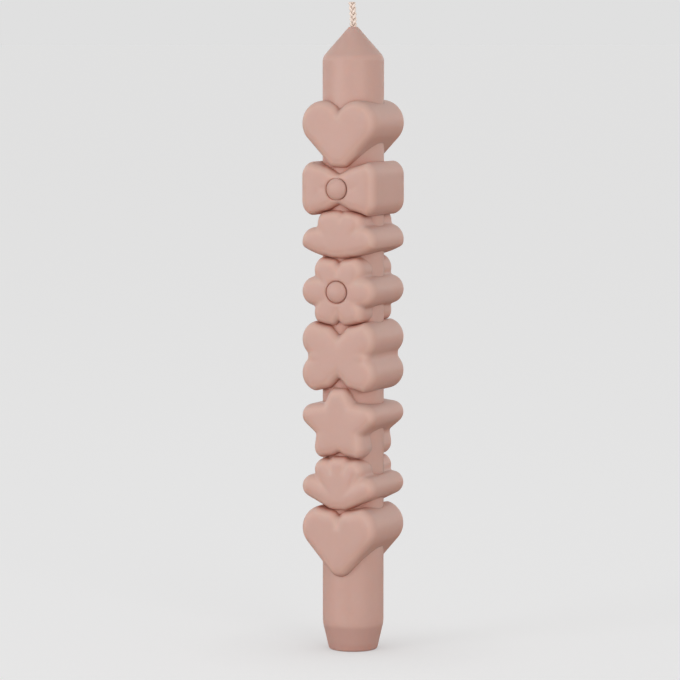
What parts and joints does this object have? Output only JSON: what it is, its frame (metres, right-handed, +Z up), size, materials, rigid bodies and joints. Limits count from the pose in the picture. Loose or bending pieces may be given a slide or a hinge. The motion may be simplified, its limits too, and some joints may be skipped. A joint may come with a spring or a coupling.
{
  "type": "sculpted taper candle",
  "caption": "Straight wax taper candle with a cone tip, a tapered plug for a holder, a stack of puffy relief forms round the column and a plaited cotton wick.",
  "frame": {"origin": "middle of the flat foot, on the surface that the candle stands on", "axes": "+Z up along the wick; the forms show their faces to -Y (front) and +Y (back); +X is to the right seen from the front"},
  "size_m": [0.0316, 0.0346, 0.2495],
  "materials": {
    "wax": "dusty pink candle wax, satin and slightly translucent",
    "wick": "unbleached plaited cotton"
  },
  "bodies": {
    "root": {"column": "wax", "heart_lower": "wax", "shell": "wax", "star": "wax", "clover": "wax", "flower": "wax", "cloud": "wax", "bow": "wax", "heart_upper": "wax", "flower_button_front": "wax", "flower_button_back": "wax", "bow_knot_front": "wax", "bow_knot_back": "wax", "wick_strand_1": "wick", "wick_strand_2": "wick", "wick_strand_3": "wick"}
  },
  "joints": []
}
